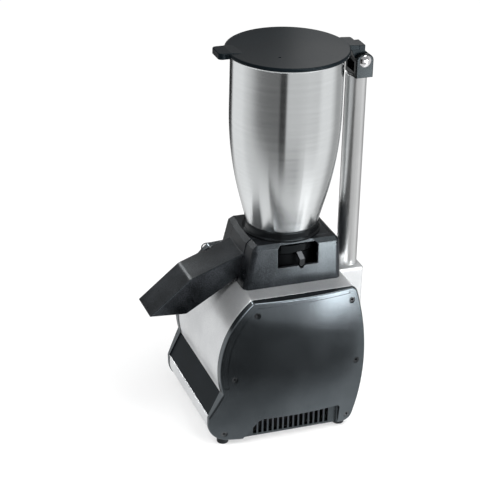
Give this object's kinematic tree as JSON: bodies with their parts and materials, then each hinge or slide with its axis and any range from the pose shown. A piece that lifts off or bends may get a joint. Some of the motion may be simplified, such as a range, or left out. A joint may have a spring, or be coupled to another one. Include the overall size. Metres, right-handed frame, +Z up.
{
  "type": "bar ice crusher",
  "caption": "Electric bar ice crusher: vented cast base, black crusher head with a down-turned chute, tall steel hopper, and a rear post carrying a hinged lid.",
  "frame": {"origin": "on the standing surface, under the middle of the machine's width and overall length", "axes": "+Z up along the hopper, -Y where the chute points, +X across the machine towards the cover beside the lever's window"},
  "size_m": [0.198, 0.2738, 0.471],
  "materials": {
    "cast_silver": "satin painted casting",
    "cover_black": "fine-grained satin",
    "head_black": "fine spark-eroded grain",
    "gloss_black": "polished",
    "toe_dark": "satin",
    "brushed_steel": "spun, brushed around",
    "post_metal": "satin anodised",
    "chrome": "polished",
    "screw_black": "blackened, semi-gloss",
    "rubber": "matt",
    "blade_steel": "cast and ground",
    "zinc_steel": "zinc plated",
    "lamination": "stacked sheet",
    "motor_paint": "satin",
    "capacitor_case": "satin",
    "nylon": "satin",
    "magnet": "nickel plated"
  },
  "bodies": {
    "machine": {"body_casting": "cast_silver", "right_side_cover": "cover_black", "left_side_cover": "cover_black", "cover_screws": "screw_black", "toe_plate": "toe_dark", "base_plate": "zinc_steel", "base_screws": "zinc_steel", "rubber_feet": "rubber", "head_housing": "head_black", "head_screws": "zinc_steel", "spout": "head_black", "spout_clip": "chrome", "crusher_chamber": "cast_silver", "shaft_seal": "rubber", "breaker_comb": "blade_steel", "hopper_bowl": "brushed_steel", "hopper_collar": "gloss_black", "post_tube": "post_metal", "post_bracket": "gloss_black", "hinge_pin": "chrome", "reed_switch": "nylon", "motor_shell": "motor_paint", "motor_upper_bell": "cast_silver", "motor_lower_bell": "cast_silver", "upper_bearing": "chrome", "lower_bearing": "chrome", "stator": "lamination", "motor_bolts": "zinc_steel", "capacitor": "capacitor_case", "capacitor_saddle": "nylon", "switch_housing": "nylon", "cord_gland": "rubber"},
    "crusher": {"drive_shaft": "blade_steel", "rotor": "lamination", "cooling_fan": "nylon", "crusher_disc": "blade_steel", "hub_nut": "chrome"},
    "lid": {"lid": "cover_black", "lid_seal": "rubber", "lid_magnet": "magnet"},
    "grain_lever": {"adjust_ring": "gloss_black", "adjust_lever": "chrome"},
    "rocker": {"switch_rocker": "gloss_black"}
  },
  "joints": [
    {"name": "lid_hinge", "type": "hinge", "parent": "machine", "child": "lid", "pos_m": [0, 0.1262, 0.4492], "axis": [-1, 0, 0], "range_deg": [0, 100]},
    {"name": "crusher_spin", "type": "hinge", "parent": "machine", "child": "crusher", "pos_m": [0, 0.0351, 0.1], "axis": [0, 0, 1], "continuous": true},
    {"name": "lever_turn", "type": "hinge", "parent": "machine", "child": "grain_lever", "pos_m": [0, 0.0351, 0.23], "axis": [0, 0, 1], "range_deg": [-20, 20]},
    {"name": "switch_rock", "type": "hinge", "parent": "machine", "child": "rocker", "pos_m": [-0.048, 0.1103, 0.1], "axis": [-1, 0, 0], "range_deg": [0, 18]}
  ]
}
